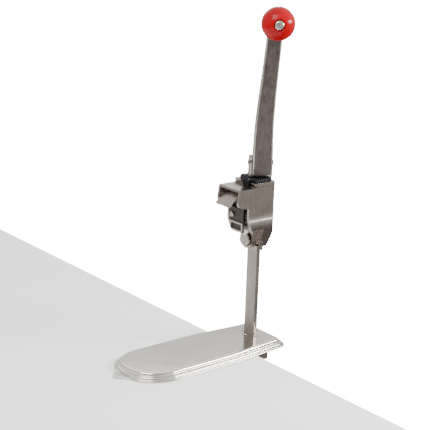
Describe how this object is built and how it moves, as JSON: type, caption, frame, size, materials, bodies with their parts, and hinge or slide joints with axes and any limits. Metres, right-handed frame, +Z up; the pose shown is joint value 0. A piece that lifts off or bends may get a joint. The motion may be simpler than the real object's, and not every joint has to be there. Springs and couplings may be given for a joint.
{
  "type": "bench can opener",
  "caption": "Manual bench can opener: long pressed base, sliding bar, head with knife and geared drive wheel, folding crank with a ball knob.",
  "frame": {"origin": "middle of the can seat, on the bench plane under the base", "axes": "+X from the can to the slide bar, +Z up along the slide bar; the operator stands on the -X, -Y side"},
  "size_m": [0.2535, 0.1085, 0.5953],
  "materials": {
    "polished_steel": "polished pressed stainless steel",
    "satin_steel": "satin, vertical grain",
    "forged_steel": "forged, rough web with polished edges",
    "tool_steel": "machined and hardened",
    "bronze": "machined bearing bronze",
    "black_plastic": "moulded, satin",
    "black_rubber": "matt",
    "red_plastic": "glossy moulded"
  },
  "bodies": {
    "base": {"base_plate": "polished_steel", "base_pad": "black_rubber", "bar_guide": "satin_steel", "brake_shoe": "bronze", "brake_spring": "tool_steel", "brake_screw": "tool_steel", "guide_screw_front": "tool_steel", "guide_screw_rear": "tool_steel", "guide_screw_near": "tool_steel", "guide_screw_far": "tool_steel"},
    "head": {"slide_bar": "satin_steel", "bar_pin_lower": "tool_steel", "bar_pin_upper": "tool_steel", "head_body": "satin_steel", "top_plate": "satin_steel", "top_cap": "black_plastic", "lower_bush": "bronze", "upper_bush": "bronze", "drive_bush": "bronze", "plate_screw_near_front": "tool_steel", "plate_screw_near_rear": "tool_steel", "plate_screw_far_front": "tool_steel", "plate_screw_far_rear": "tool_steel", "guard_plate": "satin_steel", "knife_holder": "satin_steel", "holder_pin": "tool_steel", "knife": "tool_steel"},
    "wheel": {"drive_wheel": "tool_steel", "drive_shaft": "tool_steel", "wheel_washer": "tool_steel", "drive_pinion": "tool_steel"},
    "crank": {"spindle": "tool_steel", "spindle_gear": "tool_steel", "spindle_clip": "tool_steel", "crank_hub": "satin_steel", "hinge_pin": "tool_steel"},
    "lever": {"lever": "forged_steel", "knob_stud": "tool_steel", "knob_washer": "tool_steel"},
    "knob": {"knob": "red_plastic"}
  },
  "joints": [
    {"name": "head_slide", "type": "slide", "parent": "base", "child": "head", "axis": [0, 0, 1], "range_m": [-0.11, 0.11]},
    {"name": "wheel_spin", "type": "hinge", "parent": "head", "child": "wheel", "pos_m": [0.08, 0, 0.147], "axis": [1, 0, 0], "continuous": true},
    {"name": "crank_turn", "type": "hinge", "parent": "head", "child": "crank", "pos_m": [0.095, 0, 0.23], "axis": [0, 0, 1], "continuous": true},
    {"name": "lever_fold", "type": "hinge", "parent": "crank", "child": "lever", "pos_m": [0.095, 0, 0.25], "axis": [-0.8039, 0.5948, 0], "range_deg": [0, 90]},
    {"name": "knob_spin", "type": "hinge", "parent": "lever", "child": "knob", "pos_m": [0.08802, -0.03633, 0.433], "axis": [-0.5948, -0.8039, 0], "continuous": true}
  ],
  "couplings": [
    {"joint": "wheel_spin", "follows": "crank_turn", "ratio": 1}
  ]
}
